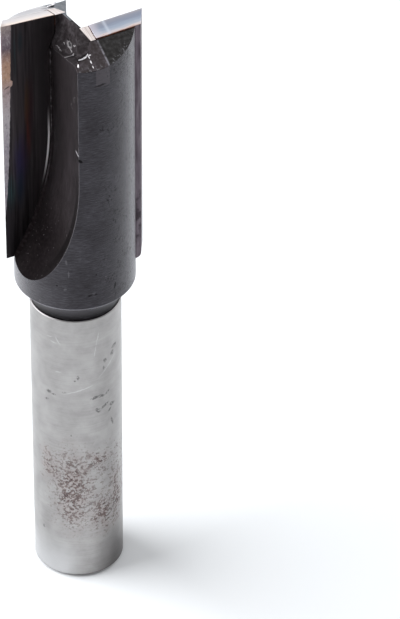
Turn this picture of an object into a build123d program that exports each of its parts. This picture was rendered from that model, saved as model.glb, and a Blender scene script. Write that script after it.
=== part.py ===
from build123d import *
import math
import os

# Two-flute straight plunge router bit for a half-inch collet, in millimetres.
# The origin is the centre of the shank's end face, +Z runs along the axis to the cutting end,
# and the rake faces of both carbide tips are parallel to the XZ plane.
# Seen from the cutting end the bit turns anticlockwise, so tip 1 on +X faces +Y.

# Turned blank
SHANK_D = 12.7
SHANK_LENGTH = 46.7
FOOT_CHAMFER = 0.45
SHANK_EDGE_BREAK = 0.12
NECK_D = 12.3
NECK_LENGTH = 3.5
BODY_D = 16.7
RIM_BREAK = 0.15

# Carbide tips
CUTTING_D = 19.05
TIP_LENGTH = 38.1
TIP_THICKNESS = 2.3
TIP_INNER_REACH = 1.5
TIP_SHELF = 4.3
SEAT_STEP = 1.1
TIP_NOSE_R = 0.7
HOOK_ANGLE = 12.6
RADIAL_RELIEF = 17.5
END_RELIEF = 16.0
END_DISH = 2.8

# Brazed seat of each tip
BRAZE_GAP = 0.15
BRAZE_BEAD = 0.45

# Flutes, milled by a disc cutter that is fed along the axis and lifts out at the neck end,
# with its spindle tilted so that the run-out is lower at the heel than at the tip
WEB_THICKNESS = 4.4
WALL_SPLAY = 5.0
DISC_D = 66.0
DISC_TILT = 17.2
RUN_OUT_RISE = 19.8

# Cutting end
CHISEL_DROP = 0.45
CHISEL_OFFSET = 0.4
CLEARANCE_ANGLE = 26.0
CLEARANCE_STEP = 0.1
LAND_CORNER = 6.0
LAND_SET = 0.4
LAND_SKEW = 15.0

# Gash that thins the web beside each tip, with a floor that stays almost level beside tip 1
# and climbs to the heel beside tip 2
GASH_SLOPE = 68.0
GASH_BEND = 1.5
GASH_DEPTH = 5.3
GASH_HEEL_DEPTHS = (5.0, 2.3)

SHANK_R = SHANK_D / 2
NECK_R = NECK_D / 2
BODY_R = BODY_D / 2
CUTTING_R = CUTTING_D / 2
BODY_BASE = SHANK_LENGTH + NECK_LENGTH
TIP_BASE = BODY_BASE + TIP_SHELF
TOP = TIP_BASE + TIP_LENGTH
RAKE_Y = -CUTTING_R * math.sin(math.radians(HOOK_ANGLE))
CORNER_X = CUTTING_R * math.cos(math.radians(HOOK_ANGLE))
BACK_Y = RAKE_Y - TIP_THICKNESS
SEAT_Y = BACK_Y - BRAZE_GAP
WEB_HALF = WEB_THICKNESS / 2
WALL_TAN = math.tan(math.radians(WALL_SPLAY))
SPAN = CUTTING_D
REACH = 4 * (TOP + CUTTING_D)
TOUCHING = 1e-3


def wall_x(y):
    """X of the flute wall at a given Y, straight in plan and splayed away from the web."""
    return WEB_HALF + WALL_TAN * y


def edge_drop(x):
    """How far the dished end cutting edge lies below the outer corner."""
    return (CORNER_X - x) * math.tan(math.radians(END_DISH))


def heel_corner():
    """Plan point where the flute wall meets the outside of the body."""
    a = 1 + WALL_TAN ** 2
    b = WEB_HALF * WALL_TAN
    c = WEB_HALF ** 2 - BODY_R ** 2
    y = (-b + math.sqrt(b * b - a * c)) / a
    return wall_x(y), y


def beyond(point, normal):
    """A block that fills the space on the far side of a plane."""
    block = Box(REACH, REACH, REACH, align=(Align.CENTER, Align.CENTER, Align.MIN))
    return Plane(origin=point, z_dir=normal) * block


def both(shape):
    """A feature of tip 1 with its copy on the opposite side."""
    return shape + shape.rotate(Axis.Z, 180)


def turned_blank():
    """Shank, filleted neck and head as they leave the lathe."""
    with BuildPart() as blank:
        with BuildSketch(Plane.XZ):
            with BuildLine():
                Polyline(
                    (0, TOP - CHISEL_DROP), (0, 0), (SHANK_R - FOOT_CHAMFER, 0), (SHANK_R, FOOT_CHAMFER),
                    (SHANK_R, SHANK_LENGTH - SHANK_EDGE_BREAK), (SHANK_R - SHANK_EDGE_BREAK, SHANK_LENGTH),
                    (NECK_R, SHANK_LENGTH),
                )
                TangentArc((NECK_R, SHANK_LENGTH), (BODY_R - RIM_BREAK, BODY_BASE), tangent=(0, 1))
                Polyline(
                    (BODY_R - RIM_BREAK, BODY_BASE), (BODY_R, BODY_BASE + RIM_BREAK),
                    (BODY_R, TOP - CHISEL_DROP), (0, TOP - CHISEL_DROP),
                )
            make_face()
        revolve(axis=Axis.Z)
    return blank.part


def flute():
    """The space the disc cutter sweeps in front of tip 1's rake plane, and the start of its run-out."""
    start = Vector(wall_x(RAKE_Y), RAKE_Y, TIP_BASE + RUN_OUT_RISE)
    tilt = math.radians(DISC_TILT)
    off_wall = Vector(1, -WALL_TAN, 0).normalized()
    along_wall = Vector(-WALL_TAN, -1, 0).normalized()
    spindle = along_wall * math.cos(tilt) + Vector(0, 0, math.sin(tilt))
    with BuildPart() as cutter:
        with BuildSketch(Plane(origin=start, x_dir=off_wall, z_dir=spindle)):
            with Locations((DISC_D / 2, 0)):
                Circle(DISC_D / 2)
            Rectangle(DISC_D, TOP, align=(Align.MIN, Align.MIN))
        extrude(amount=TOP, both=True)
    return cutter.part - beyond((0, RAKE_Y, 0), (0, -1, 0)), start


def gash(heel_depth):
    """The web-thinning cut: a steep face under the chisel edge, an upright face to the heel and a floor."""
    heel_x, heel_y = heel_corner()
    crown = TOP - CHISEL_DROP
    chisel = Vector(CHISEL_OFFSET, RAKE_Y, crown)
    bend = Vector(0, GASH_BEND, crown)
    slope = math.radians(GASH_SLOPE)
    ridge = (bend - chisel).normalized()
    downhill = ridge.cross(Vector(0, 0, 1))
    steep = downhill * math.sin(slope) + Vector(0, 0, math.cos(slope))
    to_heel = Vector(heel_x, heel_y, crown) - bend
    upright = Vector(to_heel.Y, -to_heel.X, 0)
    climb = (GASH_DEPTH - heel_depth) / (heel_y - RAKE_Y)
    space = beyond(chisel, steep) & beyond(bend, upright)
    space = space & beyond((0, RAKE_Y, TOP - GASH_DEPTH), (0, -climb, 1))
    return space - beyond((0, RAKE_Y, 0), (0, -1, 0))


def end_relief():
    """Everything above the relief plane that runs back from the end cutting edge of tip 1."""
    relief = math.tan(math.radians(END_RELIEF))
    dish = math.tan(math.radians(END_DISH))
    space = beyond((CORNER_X, RAKE_Y, TOP), (-dish, -relief, 1))
    return space - beyond((0, RAKE_Y, 0), (0, 1, 0))


def end_clearance():
    """Everything above the steeper clearance plane behind tip 1, as far as the land beside the heel."""
    clearance = math.tan(math.radians(CLEARANCE_ANGLE))
    dish = math.tan(math.radians(END_DISH))
    start = TOP - edge_drop(0) - (RAKE_Y - SEAT_Y) * math.tan(math.radians(END_RELIEF)) - CLEARANCE_STEP
    land_end = LAND_CORNER + math.tan(math.radians(LAND_SKEW)) * (SPAN - LAND_SET)
    with BuildPart() as zone:
        with BuildSketch(Plane.XY.offset(TOP - SPAN)):
            Polygon(
                (CHISEL_OFFSET, SEAT_Y), (-LAND_SET, -LAND_CORNER), (-SPAN, -land_end),
                (-SPAN, -2 * SPAN), (SPAN, -2 * SPAN), (SPAN, SEAT_Y), align=None,
            )
        extrude(amount=2 * SPAN)
    return zone.part & beyond((0, SEAT_Y, start), (-dish, -clearance, 1))


def tip(length):
    """Carbide tip in the place of tip 1: flat rake face, relieved outer flank and relieved, dished end."""
    tangent = math.radians(HOOK_ANGLE + RADIAL_RELIEF)
    flank_x = CORNER_X - TIP_THICKNESS * math.tan(tangent)
    with BuildPart() as blank:
        with BuildSketch(Plane.XY.offset(TOP - length)):
            Polygon(
                (TIP_INNER_REACH, RAKE_Y), (TIP_INNER_REACH, BACK_Y), (flank_x, BACK_Y), (CORNER_X, RAKE_Y),
                align=None,
            )
        extrude(amount=length)
    return blank.part - end_relief()


def rounded_foot(carbide):
    """The tip with its lower outer edge rounded."""
    foot = carbide.faces().sort_by(Axis.Z)[0]
    return fillet(foot.edges().sort_by(Axis.X)[-1:], TIP_NOSE_R)


def seat(length):
    """Pocket in the place of tip 1, larger than the tip by the braze all round its hidden sides."""
    with BuildPart() as pocket:
        with BuildSketch(Plane.XY.offset(TOP - length - BRAZE_GAP)):
            Polygon(
                (TIP_INNER_REACH - BRAZE_GAP, RAKE_Y + BRAZE_GAP), (TIP_INNER_REACH - BRAZE_GAP, SEAT_Y),
                (SPAN, SEAT_Y), (SPAN, RAKE_Y + BRAZE_GAP), align=None,
            )
        extrude(amount=length + SPAN)
    return pocket.part


def bead(cutter, start):
    """Fillet of braze in the corner between the rake face and the flute wall."""
    rake_face = cutter.faces().sort_by(Axis.Y)[0]
    corner = [e for e in rake_face.edges() if e.distance_to(start) < TOUCHING]
    return cutter - chamfer(corner, BRAZE_BEAD)


flute_space, run_out_start = flute()
gashes = [gash(depth) for depth in GASH_HEEL_DEPTHS]
relief_space = end_relief()
head = turned_blank() - both(flute_space) - gashes[0] - gashes[1].rotate(Axis.Z, 180)
head = head - both(relief_space) - both(end_clearance())
beads = [bead(flute_space, run_out_start) & (turned_blank() - space - relief_space) for space in gashes]

lengths = (TIP_LENGTH + SEAT_STEP, TIP_LENGTH)
seats = [seat(length) for length in lengths]
tips = [rounded_foot(tip(lengths[0])), tip(lengths[1])]
sides = (head, head.rotate(Axis.Z, 180))
seams = [
    (hollow & side) - carbide + strip
    for hollow, side, carbide, strip in zip(seats, sides, tips, beads)
]

parts = {"steel_body": head - seats[0] - seats[1].rotate(Axis.Z, 180)}
for number, turn in enumerate((0, 180)):
    parts[f"carbide_tip_{number + 1}"] = tips[number].rotate(Axis.Z, turn)
    parts[f"braze_seam_{number + 1}"] = seams[number].rotate(Axis.Z, turn)

os.makedirs("parts", exist_ok=True)
for name, shape in parts.items():
    export_step(shape, f"parts/{name}.step")
    print(name, "solids", len(shape.solids()), "volume", round(shape.volume, 2))
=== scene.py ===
import math
import random

import bmesh
import bpy
from mathutils import Matrix, Vector


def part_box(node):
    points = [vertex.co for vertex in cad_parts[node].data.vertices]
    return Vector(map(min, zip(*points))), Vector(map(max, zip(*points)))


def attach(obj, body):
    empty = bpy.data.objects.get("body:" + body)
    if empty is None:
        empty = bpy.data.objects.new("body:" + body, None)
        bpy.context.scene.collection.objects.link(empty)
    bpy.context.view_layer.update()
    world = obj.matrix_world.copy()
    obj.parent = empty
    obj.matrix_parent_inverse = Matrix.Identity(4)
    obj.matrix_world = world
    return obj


# A used two-flute router bit stands on its shank on a plain pale floor.
# Lengths inside materials and mesh code are millimetres of the part's own frame; objects are in metres.
# The front is the side that shows tip 2's rake face. Angles called "from the front" are measured
# round the axis from there, to the right as seen from the front.

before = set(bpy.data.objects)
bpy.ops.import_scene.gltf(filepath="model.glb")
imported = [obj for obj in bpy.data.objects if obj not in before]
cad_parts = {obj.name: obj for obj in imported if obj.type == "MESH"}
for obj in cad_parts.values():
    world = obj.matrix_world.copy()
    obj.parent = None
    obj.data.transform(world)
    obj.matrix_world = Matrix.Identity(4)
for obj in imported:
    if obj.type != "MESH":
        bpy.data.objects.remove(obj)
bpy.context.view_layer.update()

MM = 0.001
FRONT = math.radians(-115.0)


def box_corners(node):
    """A node's lowest and highest corner, to a thousandth of a millimetre."""
    return [[round(value / MM, 3) for value in corner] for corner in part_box(node)]


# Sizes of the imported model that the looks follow, from its boxes where they show them
tip_low, tip_high = box_corners("carbide_tip_1")
TOP = tip_high[2]
RAKE_Y = tip_high[1]
BACK_Y = tip_low[1]
BODY_R = box_corners("steel_body")[1][0]
BODY_BASE = 50.2
SHANK_R = 6.35
SHANK_TOP = 46.7
WEB_HALF = 2.2
WALL_TAN = math.tan(math.radians(5.0))
DISC_R = 33.0
DISC_TILT = math.radians(17.2)
RUN_OUT_TOP = 74.3
RUN_OUT_CURVE = math.cos(DISC_TILT) ** 2 / (2 * DISC_R)

# Camera, fitted to the object's edges in the photo, in metres and degrees
CAMERA_PLACE = (-0.192622, -0.413079, 0.40375)
CAMERA_PITCH = 38.3
CAMERA_YAW = 27.161
CAMERA_ROLL = 0.489
CAMERA_LENS = 244.26
CAMERA_SENSOR = 36.0
CAMERA_CLIP = (0.05, 20.0)

# Light levels
WORLD_STRENGTH = 0.38
LAMPS = {
    # name: degrees from the front, elevation, distance and size in metres, watts
    "key_left": (-100.0, 32.0, 0.80, 1.00, 13.8),
    "rim_right": (122.0, 30.0, 0.60, 0.40, 1.1),
}
LAMP_AIM = (0, 0, 0.045)

# Floor: its glow grows between two distances from the object, in metres
FLOOR_HALF = 3.0
FLOOR_COLOUR = (0.862, 0.889, 0.918, 1.0)
FLOOR_REACH = (0.16, 0.50)
FLOOR_GLOW = (0.05, 0.80)

# Marks on round surfaces: degrees from the front, height, half-width, half-height, turn in degrees
SHANK_DENTS = [
    (-37.5, 33.5, 0.38, 0.26, 10), (-41.1, 32.0, 0.28, 0.16, 20), (-30.5, 33.3, 0.34, 0.12, 0),
    (-16.3, 34.0, 0.30, 0.14, 0), (23.2, 32.8, 0.61, 0.22, 10), (31.7, 32.8, 0.54, 0.27, -15),
    (41.2, 32.9, 0.47, 0.16, 35), (37.7, 30.8, 0.74, 0.22, 25), (50.1, 30.4, 0.54, 0.30, 0),
    (27.2, 30.4, 0.30, 0.47, 30), (46.0, 29.6, 0.41, 0.16, 50), (1.7, 36.8, 0.14, 0.38, 5),
    (-2.0, 36.2, 0.16, 0.16, 0), (55.3, 40.4, 0.54, 0.30, 20), (51.0, 39.4, 0.30, 0.41, -20),
    (38.4, 38.8, 0.24, 0.35, 10), (36.0, 37.6, 0.19, 0.27, 0), (49.9, 27.3, 0.19, 0.74, 15),
    (-51.5, 7.9, 0.27, 0.27, 0), (-8.0, 26.4, 0.16, 0.14, 0),
]
SHANK_SCRATCHES = [
    (44.5, 37.7, 1.95, 0.05, 41), (3.0, 34.5, 1.95, 0.06, 19), (-23.5, 43.0, 0.65, 0.05, -60),
    (27.5, 43.2, 0.05, 0.90, -12), (24.0, 41.0, 0.05, 0.80, -8), (-23.8, 37.5, 0.40, 0.07, 10),
    (-30.0, 42.6, 0.45, 0.06, -15), (-35.0, 43.4, 0.40, 0.05, 10),
]
RUST_CLOUDS = [
    (-8.0, 16.2, 2.5, 7.4, 0), (-40.0, 20.0, 1.5, 2.8, 0), (23.0, 21.4, 1.9, 1.6, 0),
    (33.0, 11.0, 2.0, 3.6, 0), (55.0, 12.5, 1.6, 5.0, 0), (150.0, 16.0, 4.0, 4.0, 0),
    (-120.0, 14.0, 2.4, 5.0, 0),
]
BODY_NICKS = [
    (26.42, 86.98, 0.80, 0.16, 4), (-17.2, 54.3, 0.16, 0.14, 0), (13.6, 52.6, 0.40, 0.12, 15),
    (19.5, 52.6, 0.22, 0.10, 10), (40.2, 53.0, 0.14, 0.60, -14), (44.2, 56.7, 0.08, 0.45, 0),
    (45.8, 62.3, 0.08, 0.60, -10), (20.0, 56.0, 0.10, 0.10, 0),
]
BODY_GLINTS = [
    (-9.6, 53.8, 0.24, 0.16, 25), (-35.3, 50.9, 0.14, 0.26, 0), (17.5, 52.9, 0.30, 0.08, 15),
    (-6.0, 56.4, 0.10, 0.55, 0), (-8.0, 58.4, 0.14, 0.40, 10), (30.0, 55.2, 0.12, 0.12, 0),
]
HEEL_NICK = [(6.0, 75.3, 0.42, 0.22, -38)]
HEEL_NICK_LIP = [(3.6, 76.2, 0.26, 0.12, -45)]

# Marks on flat surfaces, with their centre in X and Y on the cutting end, and in Y and Z elsewhere
# Painted glints along the edge of the front land
LAND_GLINTS = [
    (-0.52, -6.35, 0.07, 0.24, 0), (-0.56, -7.05, 0.09, 0.22, 0), (-0.60, -7.75, 0.06, 0.18, 0),
    (-0.30, -6.15, 0.16, 0.08, 0),
]
FAR_TEARS = [(-0.95, 6.05, 0.60, 0.22, -28), (0.05, 5.75, 0.26, 0.40, 20), (0.55, 6.6, 0.50, 0.20, 35)]
# Torn chips in the gash, painted bright as edge highlights
GASH_CHIP_HIGHLIGHTS = [
    (-1.55, 89.55, 0.62, 0.36, 20), (-2.55, 89.95, 0.26, 0.07, -20), (-2.95, 88.85, 0.14, 0.20, 0),
    (0.2, 88.2, 0.75, 0.05, 5), (-0.5, 89.2, 0.22, 0.06, 40), (-2.3, 89.1, 0.30, 0.06, 15),
]
GASH_HOLES = [(-1.60, 89.62, 0.44, 0.22, 20), (-0.95, 89.95, 0.20, 0.14, 0), (-3.25, 89.0, 0.14, 0.14, 0)]
# Painted glints on the flute wall
WALL_GLINTS = [
    (-6.30, 84.2, 0.08, 0.42, -15), (-6.62, 84.8, 0.26, 0.06, -40), (-5.30, 82.9, 0.08, 0.24, 15),
    (-5.60, 82.5, 0.22, 0.05, 20),
]

# Rubbed patch on the head: from and to, in millimetres round the surface and up
PATCH_AROUND = (3.20, 5.25)
PATCH_HEIGHTS = (86.75, 90.4)

# Depth of the bumps, and the dusty sheen of the head with the range of brightness over which it sets in
BUMP_DEPTH = 0.02
HEAD_SHEEN = 0.78
SHEEN_RANGE = (0.006, 0.020)
SHEEN_ROUGHNESS = 0.40
SHEEN_TINT = (0.95, 0.95, 1.0, 1.0)

# Heights that divide the steel body into zones, with how near to one counts as reaching it, and how
# nearly a face looks outwards or up, as a cosine, to belong to the head, the ground end or a facet
RIM_TOP = BODY_BASE + 0.2
GASH_BASE = TOP - 8.0
GROUND_BASE = TOP - 2.3
TOUCHING = 0.01
OUTWARD = 0.93
LEVEL = 0.945
SLOPING = 0.87

# Stains on a rake face: distance from the axis, height, half-width, half-height, colour, strength
FRONT_STAINS = [
    (7.3, 84.0, 0.55, 10.0, (66, 60, 62), 0.65), (6.4, 80.0, 0.9, 12.0, (52, 46, 48), 0.6),
    (7.35, 87.5, 0.22, 2.6, (36, 58, 62), 0.75), (6.5, 89.5, 0.30, 1.6, (34, 46, 52), 0.6),
    (5.75, 79.0, 0.28, 3.0, (84, 58, 38), 0.8), (5.65, 74.6, 0.30, 3.0, (84, 44, 40), 0.85),
    (5.2, 79.0, 0.35, 4.0, (58, 30, 34), 0.6), (6.9, 70.0, 0.7, 3.4, (48, 42, 74), 0.8),
    (6.2, 72.0, 0.4, 2.6, (54, 36, 54), 0.6), (7.0, 65.5, 0.5, 2.4, (34, 46, 62), 0.7),
    (8.4, 65.3, 0.55, 2.2, (52, 76, 80), 0.8), (3.3, 82.0, 0.5, 8.0, (58, 56, 58), 0.6),
    (8.6, 59.5, 0.6, 3.4, (58, 54, 58), 0.6),
]
BACK_STAINS = [
    (7.2, 80.0, 0.6, 11.0, (62, 58, 62), 0.6), (5.6, 84.0, 0.3, 3.4, (76, 56, 40), 0.6),
    (6.8, 74.0, 0.6, 3.6, (46, 42, 68), 0.7), (8.2, 66.0, 0.5, 2.6, (46, 66, 72), 0.7),
    (3.4, 80.0, 0.5, 8.0, (54, 52, 54), 0.6),
]

# Worn strip along the cutting edge: its length, its inner border at the top and how far that moves
# outwards by the lower end, in a straight line and in a curve
STRIP_LENGTH = 30.6
STRIP_BORDER = 7.75
STRIP_TAPER = 0.9
STRIP_CURVE = 0.55
# Its colours from the top down, by share of its length, then the chip and the scratch in it: distance
# from the axis, height, half-width, half-height, turn
STRIP_TONES = [
    (0.00, (156, 144, 140)), (0.07, (128, 116, 122)), (0.12, (110, 98, 106)), (0.20, (176, 142, 122)),
    (0.27, (186, 152, 130)), (0.34, (172, 152, 152)), (0.48, (184, 177, 180)), (0.66, (158, 152, 159)),
]
STRIP_CHIP = [(7.93, 83.2, 0.5, 0.45, 0)]
STRIP_SCRATCH = [(8.55, 82.7, 0.40, 0.10, -24)]

# Painted highlight line beside the braze bead: from and to, in distance from the axis above the run-out
# and in height
CORNER_LINE = (2.46, 2.74)
CORNER_HEIGHTS = (67.5, 75.5)

# Bead of braze in the corner of the flute: a line along the run-out's curve, which starts at a share of
# its radius and grows over its rise, and lumps above it, each with the least radius and part of the swell
BEAD_START = 60.0
BEAD_END = TOP - 5.2
BEAD_SIDES = 7
BEAD_OFFSET = Vector((0.20, 0.16, 0))
LINE_RADIUS = 0.07
LINE_LEAST = 0.25
LINE_RISE = 6.0
LUMP_LEAST = 0.11
LUMP_SWELL = 0.09
CURVE_ANGLE = math.radians(34.0)
CURVE_STEPS = 26
STRAIGHT_STEPS = 90

# Burrs where a gash meets the land and the flute: radius, and points along each. The ends are thinner:
# they start at a share of the sine's half-turn, and BURR_THIN is the radius left at its zero
BURRS = {
    "burr_crescent": (
        0.17, [(-0.52, -6.06, 90.74), (-0.95, -6.24, 90.46), (-1.50, -6.38, 90.40), (-2.12, -6.52, 90.52)],
    ),
    "burr_far": (
        0.20, [(-0.60, 6.15, 90.72), (0.10, 6.20, 90.70), (0.65, 6.75, 90.50), (1.20, 7.40, 90.20)],
    ),
    "burr_heel": (0.115, [(-2.34, -6.95, 90.20), (-2.46, -7.20, 89.80), (-2.55, -7.60, 89.20)]),
}
BURR_SIDES = 8
BURR_STEPS = 10
BURR_THIN = 0.25
BURR_END = 0.08


def srgb(red, green, blue):
    """A screen colour of 0 to 255 as linear RGBA."""
    def linear(value):
        share = value / 255
        return share / 12.92 if share <= 0.04045 else ((share + 0.055) / 1.055) ** 2.4
    return (linear(red), linear(green), linear(blue), 1.0)


class Nodes:
    """A node tree. Each method adds nodes and returns the socket with their result."""

    def __init__(self, owner):
        owner.use_nodes = True
        self.tree = owner.node_tree
        self.tree.nodes.clear()

    def add(self, kind, **settings):
        node = self.tree.nodes.new(kind)
        for key, value in settings.items():
            setattr(node, key, value)
        return node

    def put(self, socket, value):
        if isinstance(value, bpy.types.NodeSocket):
            self.tree.links.new(value, socket)
        else:
            socket.default_value = value

    def math(self, operation, *values):
        node = self.add("ShaderNodeMath", operation=operation)
        for socket, value in zip(node.inputs, values):
            self.put(socket, value)
        return node.outputs[0]

    def plus(self, a, b):
        return self.math("ADD", a, b)

    def minus(self, a, b):
        return self.math("SUBTRACT", a, b)

    def times(self, a, b):
        return self.math("MULTIPLY", a, b)

    def size_of(self, value):
        return self.math("ABSOLUTE", value)

    def most(self, a, b):
        return self.math("MAXIMUM", a, b)

    def product(self, *values):
        result = values[0]
        for value in values[1:]:
            result = self.times(result, value)
        return result

    def vector(self, operation, *values):
        node = self.add("ShaderNodeVectorMath", operation=operation)
        for socket, value in zip(node.inputs, values):
            self.put(socket, value)
        return node.outputs["Value" if operation in ("LENGTH", "DOT_PRODUCT") else "Vector"]

    def fade(self, value, start, end):
        """0 at start and 1 at end, smooth between; start may be above end."""
        node = self.add("ShaderNodeMapRange", interpolation_type="SMOOTHSTEP")
        low, high = min(start, end), max(start, end)
        for name, number in (("Value", value), ("From Min", low), ("From Max", high)):
            self.put(node.inputs[name], number)
        return node.outputs[0] if start < end else self.minus(1.0, node.outputs[0])

    def mix(self, share, a, b):
        node = self.add("ShaderNodeMix", data_type="FLOAT")
        for socket, value in zip(node.inputs[:1] + node.inputs[2:4], (share, a, b)):
            self.put(socket, value)
        return node.outputs[0]

    def seen(self):
        """1 for the rays that show the background: the camera's, and glossy and transmission ones."""
        path = self.add("ShaderNodeLightPath")
        share = self.most(path.outputs["Is Camera Ray"], path.outputs["Is Glossy Ray"])
        return self.most(share, path.outputs["Is Transmission Ray"])


class Paint(Nodes):
    """One metal as a node material."""

    def __init__(self, name):
        self.material = bpy.data.materials.new(name)
        super().__init__(self.material)
        self.shader = self.add("ShaderNodeBsdfPrincipled")
        output = self.add("ShaderNodeOutputMaterial")
        self.tree.links.new(self.shader.outputs[0], output.inputs["Surface"])
        coordinates = self.add("ShaderNodeTexCoord")
        self.place = self.vector("MULTIPLY", coordinates.outputs["Object"], (1 / MM, 1 / MM, 1 / MM))
        self.x, self.y, self.z = self.parts(self.place)
        self.normal = self.add("ShaderNodeNewGeometry").outputs["True Normal"]

    def parts(self, vector):
        node = self.add("ShaderNodeSeparateXYZ")
        self.put(node.inputs[0], vector)
        return tuple(node.outputs)

    def join(self, x, y, z=0.0):
        node = self.add("ShaderNodeCombineXYZ")
        for socket, value in zip(node.inputs, (x, y, z)):
            self.put(socket, value)
        return node.outputs[0]

    def band(self, value, low, high, soft):
        """1 between low and high, with soft borders."""
        return self.times(
            self.fade(value, low - soft, low + soft), self.fade(value, high + soft, high - soft)
        )

    def blend(self, share, a, b):
        node = self.add("ShaderNodeMix", data_type="RGBA")
        self.put(node.inputs["Factor"], share)
        self.put(node.inputs[6], a)
        self.put(node.inputs[7], b)
        return node.outputs[2]

    def over(self, colour, mask, strength, tint):
        """The colour with a tint laid over it where the mask is 1."""
        return self.blend(self.times(mask, strength), colour, srgb(*tint))

    def ramp(self, value, stops):
        node = self.add("ShaderNodeValToRGB")
        self.put(node.inputs[0], value)
        elements = node.color_ramp.elements
        while len(elements) < len(stops):
            elements.new(0.5)
        for element, (place, tint) in zip(elements, stops):
            element.position = place
            element.color = srgb(*tint)
        return node.outputs[0]

    def noise(self, size, stretch=(1, 1, 1), shift=0.0, detail=3.0, rough=0.55, where=None):
        """Noise of a feature size in millimetres; stretch makes features longer along an axis."""
        node = self.add("ShaderNodeTexNoise")
        scaled = self.vector("DIVIDE", where or self.place, tuple(size * value for value in stretch))
        self.put(node.inputs["Vector"], self.vector("ADD", scaled, (shift, shift * 1.7, shift * 0.6)))
        node.inputs["Scale"].default_value = 1.0
        node.inputs["Detail"].default_value = detail
        node.inputs["Roughness"].default_value = rough
        return node.outputs[0]

    def shaken(self, where, amount, size, shift, detail=3.0):
        """Flat coordinates moved about by noise, so that marks placed on them look torn."""
        shake = self.noise(size, shift=shift, detail=detail).node.outputs[1]
        shake = self.vector("SUBTRACT", shake, (0.5, 0.5, 0.5))
        return self.vector("ADD", where, self.vector("MULTIPLY", shake, (amount, amount, 0)))

    def reach(self, where, across, up, wide, tall, turn):
        """Distance from a centre: 1 on an ellipse of half-sizes wide and tall, turned by degrees."""
        node = self.add("ShaderNodeMapping", vector_type="TEXTURE")
        self.put(node.inputs["Vector"], where)
        node.inputs["Location"].default_value = (across, up, 0)
        node.inputs["Rotation"].default_value = (0, 0, math.radians(turn))
        node.inputs["Scale"].default_value = (wide, tall, 1)
        return self.vector("LENGTH", node.outputs[0])

    def spots(self, where, marks, edge=0.35):
        """1 inside the ellipses given as centre, half-sizes and turn."""
        nearest = 9.0
        for mark in marks:
            nearest = self.math("MINIMUM", self.reach(where, *mark), nearest)
        return self.fade(nearest, 1.0 + edge, 1.0 - edge)

    def bevel(self, radius):
        """The surface normal, rounded over the edges by a radius in millimetres."""
        node = self.add("ShaderNodeBevel", samples=8)
        node.inputs["Radius"].default_value = radius * MM
        return node.outputs[0]

    def edges(self, radius, start, end):
        """1 on the part's edges."""
        return self.fade(self.vector("DOT_PRODUCT", self.bevel(radius), self.normal), start, end)

    def finish(self, colour, roughness, height, round_edges=0.08, sheen=0.0):
        """Sets the shader. Height is in units of BUMP_DEPTH, and the sheen spares dark marks."""
        self.put(self.shader.inputs["Base Color"], colour)
        self.put(self.shader.inputs["Roughness"], roughness)
        self.shader.inputs["Metallic"].default_value = 1.0
        if sheen:
            grey = self.add("ShaderNodeRGBToBW")
            self.put(grey.inputs[0], colour)
            weight = self.times(self.fade(grey.outputs[0], *SHEEN_RANGE), sheen)
            self.put(self.shader.inputs["Sheen Weight"], weight)
            self.shader.inputs["Sheen Roughness"].default_value = SHEEN_ROUGHNESS
            self.shader.inputs["Sheen Tint"].default_value = SHEEN_TINT
        bump = self.add("ShaderNodeBump")
        bump.inputs["Distance"].default_value = BUMP_DEPTH * MM
        bump.inputs["Strength"].default_value = 1.0
        self.put(bump.inputs["Height"], height)
        if round_edges:
            self.put(bump.inputs["Normal"], self.bevel(round_edges))
        self.put(self.shader.inputs["Normal"], bump.outputs[0])
        return self.material


def theta(paint):
    """Angle from the front in degrees."""
    across = paint.plus(paint.times(paint.x, -math.sin(FRONT)), paint.times(paint.y, math.cos(FRONT)))
    forward = paint.plus(paint.times(paint.x, math.cos(FRONT)), paint.times(paint.y, math.sin(FRONT)))
    return paint.times(paint.math("ARCTAN2", across, forward), 180 / math.pi)


def unrolled(paint, radius, wobble=0.0):
    """Distance round the surface and height, in millimetres; wobble makes marks look torn."""
    flat = paint.join(paint.times(theta(paint), math.radians(radius)), paint.z)
    return paint.shaken(flat, wobble, 0.35, 4.0, detail=2.0) if wobble else flat


def placed(marks, radius):
    """Marks with their angle turned into a distance round the surface."""
    return [(angle * math.radians(radius), *rest) for angle, *rest in marks]


def far_side(paint):
    """1 on the side that tip 1's rake face looks to, 0 on the side that tip 2's does."""
    return paint.fade(paint.y, -0.1, 0.1)


def radius_of(paint):
    return paint.vector("LENGTH", paint.join(paint.x, paint.y))


def toward_tip(paint):
    """X counted as positive towards the tip whose back is on this side."""
    return paint.times(paint.x, paint.math("SIGN", paint.times(paint.y, -1.0)))


def rusted(paint, colour):
    """The colour with rust pits and stains, then the mask of the pits and the two noises behind it."""
    flat = paint.shaken(unrolled(paint, SHANK_R), 4.5, 1.7, 14.0, detail=4.0)
    clouds = paint.spots(flat, placed(RUST_CLOUDS, SHANK_R), edge=0.8)
    haze = paint.times(paint.band(paint.z, 9.5, 24.0, 3.0), paint.fade(theta(paint), -62.0, -20.0))
    haze = paint.times(haze, paint.fade(theta(paint), 110.0, 80.0))
    fine = paint.noise(0.26, shift=8.0, detail=2.0)
    coarse = paint.noise(0.50, stretch=(1, 1, 0.85), shift=3.0, rough=0.62)
    grain = paint.mix(0.4, coarse, fine)
    raised = paint.plus(paint.times(clouds, 0.065), paint.times(haze, 0.06))
    pits = paint.fade(paint.plus(grain, raised), 0.58, 0.66)
    pits = paint.times(pits, paint.most(clouds, paint.times(haze, 0.62)))
    stain = paint.times(clouds, paint.fade(paint.noise(1.4, shift=12.0), 0.36, 0.60))
    colour = paint.over(colour, stain, 0.42, (150, 138, 135))
    rust = paint.blend(paint.fade(fine, 0.42, 0.60), srgb(78, 66, 66), srgb(122, 106, 104))
    return paint.blend(paint.times(pits, 0.92), colour, rust), pits, grain, fine


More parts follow.
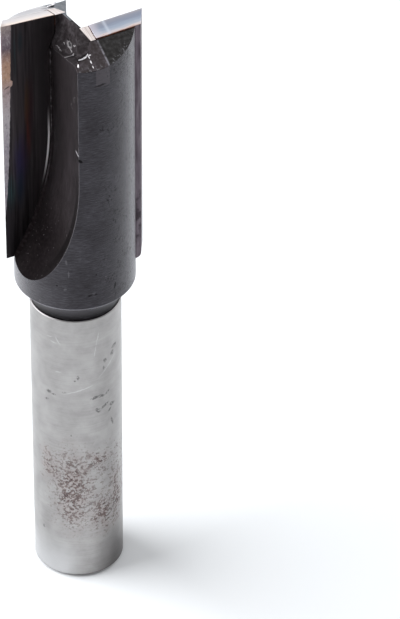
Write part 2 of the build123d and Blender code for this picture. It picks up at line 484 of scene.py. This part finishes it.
def dented(paint, colour, fine):
    """Dark dents and pale scratches on the shank."""
    skin = unrolled(paint, SHANK_R, 0.28)
    dents = paint.times(paint.spots(skin, placed(SHANK_DENTS, SHANK_R)), paint.fade(fine, 0.36, 0.52))
    colour = paint.over(colour, dents, 0.80, (88, 86, 87))
    scratches = paint.spots(skin, placed(SHANK_SCRATCHES, SHANK_R), edge=0.6)
    return paint.over(colour, scratches, 0.40, (222, 222, 224))


def shank_ends(paint, colour):
    """Near the foot a lighter left side as painted light and a darker right side, painted contact shade
    along the bottom edge, and a dull upper edge.
    """
    # Painted light: the left side low down is lighter, towards the key lamp
    painted_light_left = paint.times(paint.fade(paint.z, 9.0, 1.0), paint.band(theta(paint), -110.0, -8.0, 18.0))
    colour = paint.over(colour, painted_light_left, 0.75, (196, 196, 197))
    # Darker low down on the right side
    darker_right_foot = paint.times(paint.fade(paint.z, 9.0, 0.5), paint.band(theta(paint), 30.0, 115.0, 25.0))
    colour = paint.over(colour, darker_right_foot, 0.75, (96, 92, 92))
    # Painted contact shade: the bottom edge darkens where the shank meets the floor
    colour = paint.over(colour, paint.fade(paint.z, 0.62, 0.34), 0.85, (70, 66, 67))
    edge = paint.fade(paint.z, SHANK_TOP - 0.18, SHANK_TOP - 0.06)
    return paint.over(colour, edge, 0.9, (110, 108, 110))


def ground_shank(paint):
    """Bright cylindrical grinding with rust pits, dark dents and scratches."""
    bands = paint.noise(0.16, stretch=(30, 1, 1), shift=7.0, where=unrolled(paint, SHANK_R))
    cloud = paint.noise(2.4, shift=1.0, detail=5.0)
    colour = paint.ramp(paint.mix(0.72, bands, cloud), [
        (0.34, (149, 147, 146)), (0.50, (160, 158, 157)), (0.66, (170, 168, 167)),
    ])
    colour, pits, grain, fine = rusted(paint, colour)
    colour = shank_ends(paint, dented(paint, colour, fine))
    height = paint.plus(paint.times(bands, 0.35), paint.times(grain, 0.6))
    return colour, paint.mix(pits, 0.36, 0.70), height


def oxide_head(paint):
    """Blackened turned surface with fine rings, small nicks, one rubbed patch and a painted highlight
    along the lower rim.
    """
    flat = unrolled(paint, BODY_R)
    rings = paint.noise(0.16, stretch=(7, 1, 1), shift=5.0, detail=4.0, rough=0.7, where=flat)
    cloud = paint.noise(4.5, shift=11.0)
    colour = paint.ramp(paint.mix(0.3, rings, cloud), [
        (0.34, (34, 31, 34)), (0.50, (51, 49, 53)), (0.66, (70, 68, 73)),
    ])
    around = paint.parts(flat)[0]
    patch = paint.times(paint.band(around, *PATCH_AROUND, 0.10), paint.band(paint.z, *PATCH_HEIGHTS, 0.12))
    colour = paint.over(colour, patch, 0.55, (80, 75, 79))
    skin = unrolled(paint, BODY_R, 0.22)
    colour = paint.over(colour, paint.spots(skin, placed(BODY_NICKS, BODY_R)), 0.85, (20, 18, 19))
    flecks = paint.noise(0.26, stretch=(1, 1, 1.7), shift=22.0, detail=1.0)
    crowd = paint.plus(paint.noise(3.0, shift=25.0), paint.times(around, 0.045))
    flecks = paint.times(paint.fade(flecks, 0.58, 0.63), paint.fade(crowd, 0.66, 0.86))
    colour = paint.over(colour, flecks, 0.78, (24, 22, 23))
    colour = paint.over(colour, paint.spots(skin, placed(BODY_GLINTS, BODY_R)), 0.22, (124, 122, 126))
    # Painted highlight along the lower rim of the head
    rim = paint.band(paint.z, BODY_BASE - 0.02, BODY_BASE + 0.22, 0.06)
    colour = paint.over(colour, rim, 0.75, (134, 132, 139))
    return colour, paint.mix(rings, 0.30, 0.54), paint.times(rings, 1.6)


def neck_band(paint):
    """Blackened fillet below the head, with painted shade darker towards the shank and a paler painted
    reflection at the top.
    """
    up = paint.math("DIVIDE", paint.minus(paint.z, SHANK_TOP), BODY_BASE - SHANK_TOP)
    # Painted shade and reflection: dark at the shank, pale at the head
    colour = paint.ramp(up, [
        (0.04, (14, 12, 13)), (0.40, (58, 56, 59)), (0.75, (94, 92, 97)), (0.98, (120, 118, 124)),
    ])
    rings = paint.noise(0.12, stretch=(9, 1, 1), shift=31.0, detail=2.0, where=unrolled(paint, BODY_R))
    colour = paint.over(colour, paint.fade(rings, 0.50, 0.66), 0.2, (88, 86, 91))
    return colour, paint.mix(rings, 0.38, 0.52), paint.times(rings, 0.6)


def run_out_dust_and_shade(paint, colour, low, out):
    """Dark dusty tone and painted shade in the run-out hollow, a painted shadow line along its edge, and
    crumbs.
    """
    # Dusty dark tone, also painted shade in the hollow
    dust_and_shade = paint.ramp(paint.noise(0.5, shift=18.0, detail=4.0), [
        (0.35, (14, 10, 12)), (0.52, (21, 17, 18)), (0.68, (32, 28, 29)),
    ])
    dust_and_shade = paint.over(dust_and_shade, out, 0.8, (54, 50, 51))
    colour = paint.blend(paint.times(low, 0.85), colour, dust_and_shade)
    # Painted shadow line along the run-out's outer edge
    shadow_line = paint.band(radius_of(paint), BODY_R - 0.90, BODY_R - 0.14, 0.16)
    shadow_line = paint.times(shadow_line, paint.band(paint.z, 57.0, 70.0, 4.0))
    colour = paint.over(colour, shadow_line, 0.75, (12, 9, 10))
    crumbs = paint.times(paint.fade(paint.noise(0.42, shift=19.0, detail=1.0), 0.71, 0.76), low)
    return paint.over(colour, crumbs, 0.5, (112, 107, 110))


def flute_wall(paint):
    """Milled flute with baked-on brown resin, darker towards the heel, dusty and in painted shade in the
    run-out, with small painted glints.
    """
    grain = paint.noise(0.35, stretch=(1, 1, 6), shift=13.0, rough=0.6)
    cloud = paint.noise(3.0, stretch=(1, 1, 2), shift=14.0)
    tone = paint.mix(0.5, grain, cloud)
    inner = paint.ramp(tone, [(0.36, (38, 34, 36)), (0.50, (47, 42, 44)), (0.66, (58, 53, 56))])
    outer = paint.ramp(tone, [(0.36, (26, 22, 24)), (0.50, (34, 30, 32)), (0.66, (44, 40, 42))])
    out = paint.fade(paint.size_of(paint.minus(paint.y, RAKE_Y)), 0.0, 9.0)
    low = paint.fade(paint.z, 68.0, 59.0)
    colour = run_out_dust_and_shade(paint, paint.blend(out, inner, outer), low, out)
    # Painted glints on the flute wall
    wall_glints = paint.spots(paint.join(paint.y, paint.z), WALL_GLINTS)
    colour = paint.over(colour, wall_glints, 0.45, (128, 124, 128))
    return colour, paint.mix(low, paint.mix(cloud, 0.62, 0.76), 0.92), grain


def far_land(paint):
    """Clearance face on the far side, painted pale as reflected light, grey past the middle, with dark
    tears.
    """
    pale = paint.ramp(paint.noise(1.2, stretch=(3, 1, 1), shift=45.0), [
        (0.36, (162, 161, 166)), (0.50, (174, 173, 177)), (0.64, (188, 187, 190)),
    ])
    pale = paint.over(pale, paint.fade(paint.x, -0.9, 0.1), 1.0, (106, 110, 115))
    return paint.over(pale, paint.spots(paint.join(paint.x, paint.y), FAR_TEARS), 0.85, (24, 22, 24))


def end_facets(paint):
    """Clearance faces of the cutting end: dark in front with a painted highlight line and painted glints
    on the land's edge, pale on the far side as painted reflection.
    """
    inward = toward_tip(paint)
    grain = paint.noise(0.5, shift=41.0, detail=4.0)
    dark = paint.ramp(grain, [(0.32, (40, 39, 39)), (0.50, (50, 49, 49)), (0.68, (62, 61, 62))])
    brown = paint.ramp(grain, [(0.32, (54, 49, 49)), (0.50, (65, 60, 62)), (0.68, (78, 73, 77))])
    colour = paint.blend(paint.fade(inward, 1.7, 1.4), dark, brown)
    broken = paint.fade(paint.noise(0.8, shift=43.0, detail=2.0), 0.40, 0.58)
    # Painted highlight line on the edge between the brown strip and the dark face
    line = paint.times(paint.band(inward, 1.44, 1.66, 0.07), paint.mix(broken, 0.3, 1.0))
    colour = paint.over(colour, line, 0.60, (146, 145, 154))
    rim = paint.fade(radius_of(paint), BODY_R - 0.9, BODY_R - 0.2)
    chips = paint.times(paint.fade(paint.noise(0.34, shift=44.0, detail=1.0), 0.60, 0.66), rim)
    colour = paint.over(colour, chips, 0.6, (118, 118, 122))
    # Painted glints along the land's edge
    land_glints = paint.spots(paint.join(paint.x, paint.y), LAND_GLINTS)
    colour = paint.over(colour, land_glints, 1.0, (222, 220, 224))
    # Painted reflection: the far side takes the pale far-land look
    colour = paint.blend(far_side(paint), colour, far_land(paint))
    return colour, paint.mix(grain, 0.42, 0.60), paint.plus(grain, paint.times(line, 0.6))


def gash_faces(paint):
    """Rough burnt faces of the web-thinning cut with a torn chip and a few nicks, painted bright as
    highlights on their edges.
    """
    grain = paint.noise(0.6, shift=51.0, detail=5.0, rough=0.62)
    colour = paint.ramp(grain, [(0.34, (40, 36, 38)), (0.50, (55, 51, 53)), (0.66, (76, 72, 75))])
    skin = paint.shaken(paint.join(paint.y, paint.z), 0.5, 0.3, 52.0)
    # Torn chip and nicks, painted bright as highlights on their edges
    colour = paint.over(colour, paint.spots(skin, GASH_CHIP_HIGHLIGHTS), 0.75, (168, 165, 168))
    colour = paint.over(colour, paint.spots(skin, GASH_HOLES), 0.85, (14, 12, 13))
    return colour, paint.mix(grain, 0.66, 0.88), paint.times(grain, 2.0)


def ground_end(paint):
    """Fresh grinding beside each tip's inner end, then grey on the far side as painted reflection, burnt
    dark in front.
    """
    lines = paint.noise(0.16, stretch=(1, 14, 14), shift=61.0, detail=2.0)
    bright = paint.ramp(lines, [(0.30, (200, 190, 186)), (0.50, (222, 212, 210)), (0.70, (240, 234, 232))])
    grey = paint.ramp(lines, [(0.30, (96, 99, 103)), (0.50, (106, 110, 115)), (0.70, (120, 122, 127))])
    dark, roughness, height = gash_faces(paint)
    # Painted reflection: the far side is a paler grey copy of the dark look in front
    rest = paint.blend(far_side(paint), dark, grey)
    depth = paint.size_of(paint.y)
    border = paint.times(paint.plus(depth, RAKE_Y), 0.20)
    border = paint.plus(border, paint.mix(far_side(paint), 0.16, -0.16))
    block = paint.times(paint.fade(depth, 4.62, 4.56), paint.fade(depth, 2.06, 2.10))
    block = paint.times(block, paint.fade(paint.minus(toward_tip(paint), border), -0.04, 0.04))
    colour = paint.blend(block, rest, bright)
    return colour, paint.mix(block, roughness, 0.34), paint.mix(block, height, paint.times(lines, 0.6))


def worn_and_highlit_edges(paint, colour):
    """Paler edges, partly where the black has rubbed off and partly a painted edge highlight, and darker
    edges at the front land.
    """
    broken = paint.fade(paint.noise(1.2, shift=71.0), 0.30, 0.58)
    run_out = paint.band(paint.z, 58.0, 73.0, 1.5)
    land = paint.times(paint.fade(paint.z, 88.4, 88.9), paint.band(theta(paint), 7.0, 36.0, 4.0))
    # Wear and painted highlight on the edges
    worn = paint.product(
        paint.fade(paint.z, 55.0, 58.0), paint.edges(0.12, 0.994, 0.94),
        paint.most(broken, run_out), paint.minus(1.0, land),
    )
    colour = paint.over(colour, worn, 0.42, (156, 153, 158))
    # Darker edges at the front land
    dark_land_edges = paint.product(paint.edges(0.20, 0.998, 0.975), land, paint.mix(broken, 0.6, 1.0))
    return paint.over(colour, dark_land_edges, 0.85, (12, 10, 11))


def heel_nick(paint, colour):
    """One dent in the heel edge of the front flute."""
    skin = unrolled(paint, BODY_R, 0.2)
    colour = paint.over(colour, paint.spots(skin, placed(HEEL_NICK, BODY_R)), 0.9, (14, 12, 13))
    return paint.over(colour, paint.spots(skin, placed(HEEL_NICK_LIP, BODY_R)), 0.7, (170, 168, 172))


STEEL_ZONES = {
    # zone: material name, look, marks laid over it, sheen
    "shank": ("steel_shank_ground", ground_shank, (), 0.0),
    "neck": ("steel_neck_black", neck_band, (), 0.0),
    "head": ("steel_head_black", oxide_head, (worn_and_highlit_edges, heel_nick), HEAD_SHEEN),
    "flute": ("steel_flute_stained_painted_shade", flute_wall, (worn_and_highlit_edges, heel_nick), 0.0),
    "gash": ("steel_gash_burnt", gash_faces, (), 0.0),
    "facet": ("steel_facet_dark", end_facets, (), 0.0),
    "ground": ("steel_end_ground", ground_end, (), 0.0),
}


def steel_zone(name, look, marks, sheen):
    """The material of one zone of the steel body."""
    paint = Paint(name)
    colour, roughness, height = look(paint)
    for mark in marks:
        colour = mark(paint, colour)
    return paint.finish(colour, roughness, height, sheen=sheen)


def zone_of(polygon):
    """Which zone of the steel body a face belongs to, by its place and direction."""
    centre = polygon.center / MM
    normal = polygon.normal
    radial = Vector((centre.x, centre.y, 0)).normalized()
    if centre.z < SHANK_TOP - TOUCHING or normal.z < -0.99:
        return "shank"
    if centre.z < BODY_BASE - TOUCHING:
        return "neck"
    if normal.dot(radial) > OUTWARD or centre.z < RIM_TOP:
        return "head"
    if centre.z < GASH_BASE:
        return "flute"
    if centre.z > GROUND_BASE and normal.z > LEVEL:
        return "ground"
    if normal.z > SLOPING and normal.y * centre.y > 0:
        return "facet"
    return "flute" if normal.z < 0.01 and abs(normal.x) > 0.99 else "gash"


def dress_steel():
    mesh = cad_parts["steel_body"].data
    mesh.materials.clear()
    order = list(STEEL_ZONES)
    for zone in order:
        mesh.materials.append(steel_zone(*STEEL_ZONES[zone]))
    for polygon in mesh.polygons:
        polygon.material_index = order.index(zone_of(polygon))


def heat_colours(paint, outward, streak, stains):
    """Dark polished carbide with stains that run in upright streaks."""
    colour = paint.ramp(streak, [(0.34, (44, 40, 42)), (0.50, (58, 53, 56)), (0.66, (72, 67, 70))])
    colour = paint.over(colour, paint.fade(outward, 6.2, 3.2), 0.6, (84, 78, 80))
    shift = paint.times(paint.plus(paint.noise(2.4, stretch=(1, 1, 3), shift=81.0), -0.5), 0.5)
    skin = paint.join(paint.plus(outward, shift), paint.z)
    streaky = paint.fade(streak, 0.22, 0.58)
    for across, up, wide, tall, tint, strength in stains:
        glow = paint.spots(skin, [(across, up, wide, tall, 0)], edge=0.95)
        colour = paint.over(colour, paint.times(glow, streaky), strength, tint)
    return colour


def worn_strip(paint, outward, flat, mottle):
    """Mask and colour of the worn strip along the cutting edge, which narrows downwards."""
    down = paint.math("DIVIDE", paint.minus(TOP, paint.z), STRIP_LENGTH)
    curve = paint.times(paint.math("POWER", down, 5.0), STRIP_CURVE)
    border = paint.plus(paint.plus(paint.times(down, STRIP_TAPER), curve), STRIP_BORDER)
    ragged = paint.times(paint.plus(paint.noise(0.7, shift=84.0), -0.5), 0.22)
    bite = paint.times(paint.spots(flat, STRIP_CHIP, edge=0.3), -0.30)
    border = paint.plus(paint.plus(border, ragged), bite)
    tone = paint.ramp(down, STRIP_TONES)
    tone = paint.over(tone, paint.fade(mottle, 0.50, 0.68), 0.30, (206, 200, 202))
    tone = paint.over(tone, paint.fade(mottle, 0.48, 0.34), 0.40, (84, 74, 80))
    return paint.fade(paint.minus(outward, border), 0.0, 0.10), tone


def rake_face(paint, outward, stains):
    """Dark face of a tip with heat colours, a worn strip and a painted highlight line beside the braze
    bead.
    """
    flat = paint.join(outward, paint.z)
    streak = paint.noise(0.35, stretch=(1, 1, 26), shift=82.0, rough=0.6)
    mottle = paint.noise(0.30, stretch=(1, 1, 1.6), shift=85.0, detail=4.0, rough=0.7)
    strip, tone = worn_strip(paint, outward, flat, mottle)
    colour = paint.blend(strip, heat_colours(paint, outward, streak, stains), tone)
    below = paint.most(paint.minus(RUN_OUT_TOP, paint.z), 0.0)
    corner = paint.minus(outward, paint.times(paint.times(below, below), RUN_OUT_CURVE))
    # Painted highlight beside the braze bead
    line = paint.times(paint.band(corner, *CORNER_LINE, 0.05), paint.band(paint.z, *CORNER_HEIGHTS, 3.0))
    colour = paint.over(colour, line, 1.0, (250, 245, 247))
    rim = paint.times(paint.fade(outward, 9.10, 9.26), paint.fade(paint.z, 66.0, 72.0))
    colour = paint.over(colour, rim, 0.5, (196, 188, 184))
    colour = paint.over(colour, paint.spots(flat, STRIP_SCRATCH, edge=0.5), 0.8, (58, 46, 44))
    roughness = paint.mix(paint.most(strip, line), paint.mix(streak, 0.30, 0.42), 0.55)
    height = paint.plus(paint.times(streak, 0.25), paint.times(strip, -0.8))
    return colour, roughness, paint.plus(height, paint.product(mottle, strip, 0.8))


def carbide_end(paint, outward, first):
    """Ground end of a tip. The first is bluish with one bright stripe, the second pale and warm."""
    lines = paint.noise(0.20, stretch=(10, 1, 1), shift=91.0)
    across = paint.math("DIVIDE", paint.plus(paint.size_of(paint.y), RAKE_Y), RAKE_Y - BACK_Y)
    across = paint.plus(across, paint.times(paint.plus(lines, -0.5), 0.35))
    if first:
        colour = paint.ramp(across, [
            (0.00, (172, 170, 176)), (0.12, (152, 155, 168)), (0.36, (143, 150, 168)),
            (0.62, (162, 173, 190)), (0.84, (190, 193, 203)), (0.93, (220, 206, 205)),
            (0.99, (188, 160, 150)),
        ])
        colour = paint.over(colour, paint.band(outward, 3.35, 3.70, 0.22), 0.6, (206, 213, 226))
        return paint.over(colour, paint.fade(outward, 2.9, 1.7), 0.6, (214, 208, 218)), 0.30, lines
    colour = paint.ramp(across, [
        (0.00, (206, 180, 164)), (0.08, (240, 226, 216)), (0.50, (222, 216, 216)),
        (0.92, (202, 199, 202)), (0.99, (180, 178, 180)),
    ])
    return paint.over(colour, paint.fade(outward, 7.9, 9.2), 0.75, (160, 149, 145)), 0.30, lines


def flank(paint, outward):
    """Back and outer flank of a tip: dark, blotched low down, reddish towards the cutting edge."""
    grain = paint.noise(0.5, stretch=(1, 1, 8), shift=95.0)
    colour = paint.ramp(grain, [(0.32, (70, 62, 68)), (0.50, (88, 80, 87)), (0.68, (106, 98, 104))])
    blotch = paint.fade(paint.noise(1.1, shift=96.0), 0.44, 0.58)
    blotch = paint.times(blotch, paint.band(paint.z, 56.0, 64.5, 1.5))
    colour = paint.over(colour, blotch, 0.8, (44, 38, 42))
    edge = paint.times(paint.fade(outward, 8.70, 9.0), paint.fade(paint.z, 57.0, 62.0))
    colour = paint.over(colour, edge, 0.6, (122, 96, 92))
    return colour, paint.mix(grain, 0.36, 0.48), paint.times(grain, 0.8)


def layer(paint, mask, lower, upper):
    """The upper finish over the lower one where the mask is 1."""
    colour = paint.blend(mask, lower[0], upper[0])
    roughness = paint.mix(mask, lower[1], upper[1])
    height = paint.mix(mask, lower[2], upper[2])
    return colour, roughness, height


def carbide_paint(name, turn, stains):
    """A tip's material; turn is 1 for the tip on +X and -1 for the one on -X."""
    paint = Paint(name)
    outward = paint.times(paint.x, float(turn))
    facing = paint.parts(paint.normal)
    look = flank(paint, outward)
    rake = paint.fade(paint.times(facing[1], float(turn)), 0.97, 0.985)
    look = layer(paint, rake, look, rake_face(paint, outward, stains))
    look = layer(paint, paint.fade(facing[2], 0.75, 0.85), look, carbide_end(paint, outward, turn == 1))
    return paint.finish(*look, round_edges=0.05)


def braze_paint():
    """Copper-brown braze, blackened in the flute and bare at the back of the second tip."""
    paint = Paint("braze_tarnished")
    grain = paint.noise(0.4, shift=101.0)
    copper = paint.ramp(grain, [(0.32, (44, 26, 24)), (0.50, (62, 40, 34)), (0.68, (104, 70, 56))])
    black = paint.ramp(grain, [(0.32, (12, 9, 10)), (0.50, (20, 16, 17)), (0.68, (34, 30, 31))])
    colour = paint.blend(paint.fade(paint.z, TOP - 1.6, TOP - 3.0), copper, black)
    bare = paint.product(
        paint.fade(paint.z, TOP - 1.6, TOP - 1.5), paint.fade(paint.y, 4.30, 4.36),
        paint.fade(paint.x, -1.5, -2.2),
    )
    colour = paint.over(colour, bare, 1.0, (206, 203, 205))
    return paint.finish(colour, paint.mix(grain, 0.42, 0.60), grain, round_edges=0.0)


def bead_paint():
    """Braze beads: dark between, light grey on the crests and along the curve."""
    paint = Paint("braze_beads")
    lumps = paint.noise(0.55, stretch=(1, 1, 1.3), shift=111.0, detail=2.0)
    colour = paint.ramp(lumps, [(0.38, (12, 10, 11)), (0.52, (32, 29, 30)), (0.66, (66, 62, 64))])
    curve = paint.band(paint.z, BEAD_START + 2.0, RUN_OUT_TOP - 2.0, 2.5)
    colour = paint.over(colour, curve, 0.7, (104, 100, 102))
    return paint.finish(colour, 0.42, lumps, round_edges=0.0)


def burr_paint():
    """Bright freshly torn steel."""
    paint = Paint("steel_burr_bright")
    grain = paint.noise(0.25, shift=121.0)
    colour = paint.ramp(grain, [(0.34, (176, 174, 178)), (0.50, (214, 212, 216)), (0.66, (238, 237, 240))])
    return paint.finish(colour, paint.mix(grain, 0.28, 0.46), grain, round_edges=0.0)


def floor_paint():
    """Pale floor that keeps the shadow. Where it is seen, it turns white far from the object."""
    material = bpy.data.materials.new("floor_pale")
    nodes = Nodes(material)
    diffuse = nodes.add("ShaderNodeBsdfDiffuse")
    diffuse.inputs["Color"].default_value = FLOOR_COLOUR
    glow = nodes.add("ShaderNodeEmission")
    distance = nodes.vector("LENGTH", nodes.add("ShaderNodeTexCoord").outputs["Object"])
    level = nodes.mix(nodes.fade(distance, *FLOOR_REACH), *FLOOR_GLOW)
    nodes.put(glow.inputs["Strength"], nodes.times(nodes.seen(), level))
    total = nodes.add("ShaderNodeAddShader")
    nodes.put(total.inputs[0], diffuse.outputs[0])
    nodes.put(total.inputs[1], glow.outputs[0])
    nodes.put(nodes.add("ShaderNodeOutputMaterial").inputs["Surface"], total.outputs[0])
    return material


def make_floor():
    mesh = bpy.data.meshes.new("floor")
    corners = [(-1, -1), (1, -1), (1, 1), (-1, 1)]
    mesh.from_pydata([(x * FLOOR_HALF, y * FLOOR_HALF, 0) for x, y in corners], [], [(0, 1, 2, 3)])
    floor = bpy.data.objects.new("floor", mesh)
    bpy.context.scene.collection.objects.link(floor)
    mesh.materials.append(floor_paint())


def make_world():
    world = bpy.data.worlds.new("studio")
    bpy.context.scene.world = world
    nodes = Nodes(world)
    background = nodes.add("ShaderNodeBackground")
    background.inputs["Color"].default_value = (1.0, 1.0, 1.0, 1.0)
    nodes.put(background.inputs["Strength"], nodes.mix(nodes.seen(), WORLD_STRENGTH, 1.0))
    nodes.put(nodes.add("ShaderNodeOutputWorld").inputs["Surface"], background.outputs[0])


def make_lamps():
    for name, (angle, elevation, distance, size, watts) in LAMPS.items():
        data = bpy.data.lights.new(name, "AREA")
        data.shape = "DISK"
        data.size = size
        data.energy = watts
        lamp = bpy.data.objects.new(name, data)
        bpy.context.scene.collection.objects.link(lamp)
        azimuth = FRONT + math.radians(angle)
        up = math.radians(elevation)
        level = Vector((math.cos(azimuth), math.sin(azimuth), 0))
        direction = level * math.cos(up) + Vector((0, 0, math.sin(up)))
        lamp.location = direction * distance + Vector(LAMP_AIM)
        lamp.rotation_mode = "QUATERNION"
        lamp.rotation_quaternion = direction.to_track_quat("Z", "Y")


def make_camera():
    data = bpy.data.cameras.new("camera")
    data.sensor_fit = "VERTICAL"
    data.sensor_height = CAMERA_SENSOR
    data.lens = CAMERA_LENS
    data.clip_start, data.clip_end = CAMERA_CLIP
    camera = bpy.data.objects.new("camera", data)
    bpy.context.scene.collection.objects.link(camera)
    pitch, yaw, roll = (math.radians(value) for value in (CAMERA_PITCH, CAMERA_YAW, CAMERA_ROLL))
    forward = Vector((math.sin(yaw) * math.cos(pitch), math.cos(yaw) * math.cos(pitch), -math.sin(pitch)))
    level = Vector((math.cos(yaw), -math.sin(yaw), 0))
    upright = level.cross(forward)
    right = level * math.cos(roll) + upright * math.sin(roll)
    up = upright * math.cos(roll) - level * math.sin(roll)
    turn = Matrix((right, up, -forward)).transposed().to_4x4()
    camera.matrix_world = Matrix.Translation(CAMERA_PLACE) @ turn
    bpy.context.scene.camera = camera


def tube(name, rings):
    """A closed smooth tube through rings of points in millimetres."""
    mesh = bmesh.new()
    rows = [[mesh.verts.new(point * MM) for point in points] for points in rings]
    sides = len(rows[0])
    for lower, upper in zip(rows, rows[1:]):
        for side in range(sides):
            following = (side + 1) % sides
            mesh.faces.new((lower[side], lower[following], upper[following], upper[side]))
    mesh.faces.new(list(reversed(rows[0])))
    mesh.faces.new(rows[-1])
    bmesh.ops.recalc_face_normals(mesh, faces=mesh.faces)
    for face in mesh.faces:
        face.smooth = True
    data = bpy.data.meshes.new(name)
    mesh.to_mesh(data)
    mesh.free()
    return data


def ring(centre, first, second, radius, sides):
    """Points on a circle in the plane of two directions."""
    angles = [2 * math.pi * side / sides for side in range(sides)]
    return [centre + (first * math.cos(angle) + second * math.sin(angle)) * radius for angle in angles]


def corner_line():
    """Points up the corner between rake face and flute wall of tip 1, from the run-out to the gash."""
    wall = WEB_HALF + WALL_TAN * RAKE_Y
    points = []
    for step in range(CURVE_STEPS + 1):
        angle = CURVE_ANGLE * (1 - step / CURVE_STEPS)
        away = DISC_R * (1 - math.cos(angle))
        height = RUN_OUT_TOP - DISC_R * math.sin(angle) / math.cos(DISC_TILT)
        points.append(Vector((wall + away, RAKE_Y, height)))
    for step in range(1, STRAIGHT_STEPS + 1):
        height = RUN_OUT_TOP + (BEAD_END - RUN_OUT_TOP) * step / STRAIGHT_STEPS
        points.append(Vector((wall, RAKE_Y, height)))
    return points


def bead_mesh(name, turn, seed):
    """A line of braze along the corner, lumpy where it is straight and thin along the curve."""
    draw = random.Random(seed)
    across, over = Vector((1, 0, 0)), Vector((0, 1, 0))
    rings = []
    lump = 0.5
    for index, point in enumerate(point for point in corner_line() if point.z > BEAD_START):
        if index % 2 == 0:
            lump = draw.uniform(0.25, 1.0)
        thin = LINE_RADIUS * min(max((point.z - BEAD_START) / LINE_RISE, LINE_LEAST), 1.0)
        radius = LUMP_LEAST + LUMP_SWELL * lump if point.z > RUN_OUT_TOP else thin
        places = ring(point + BEAD_OFFSET, across, over, radius, BEAD_SIDES)
        rings.append([Vector((place.x * turn, place.y * turn, place.z)) for place in places])
    return tube(name, rings)


def burr_mesh(name, radius, points):
    """A thin curl of torn steel along points, round in section and tapered at both ends."""
    path = [Vector(point) for point in points]
    rings = []
    for step in range(BURR_STEPS + 1):
        share = step / BURR_STEPS * (len(path) - 1)
        index = min(int(share), len(path) - 2)
        centre = path[index].lerp(path[index + 1], share - index)
        along = (path[index + 1] - path[index]).normalized()
        side = along.cross(Vector((0, 0, 1))).normalized()
        swell = math.sin(math.pi * (BURR_END + (1 - 2 * BURR_END) * step / BURR_STEPS))
        wide = radius * (BURR_THIN + (1 - BURR_THIN) * swell)
        rings.append(ring(centre, side, side.cross(along), wide, BURR_SIDES))
    return tube(name, rings)


def dress(node, material):
    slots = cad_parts[node].data.materials
    slots.clear()
    slots.append(material)


def add_piece(name, mesh, material):
    piece = bpy.data.objects.new(name, mesh)
    bpy.context.scene.collection.objects.link(piece)
    mesh.materials.append(material)
    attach(piece, "root")


make_camera()
make_world()
make_lamps()
make_floor()

dress_steel()
dress("carbide_tip_1", carbide_paint("carbide_first", 1, BACK_STAINS))
dress("carbide_tip_2", carbide_paint("carbide_second", -1, FRONT_STAINS))
braze = braze_paint()
dress("braze_seam_1", braze)
dress("braze_seam_2", braze)
beads = bead_paint()
add_piece("braze_bead_1", bead_mesh("braze_bead_1", 1, 11), beads)
add_piece("braze_bead_2", bead_mesh("braze_bead_2", -1, 23), beads)
burr = burr_paint()
for burr_name, shape in BURRS.items():
    add_piece(burr_name, burr_mesh(burr_name, *shape), burr)

bpy.context.scene.view_settings.view_transform = "Standard"
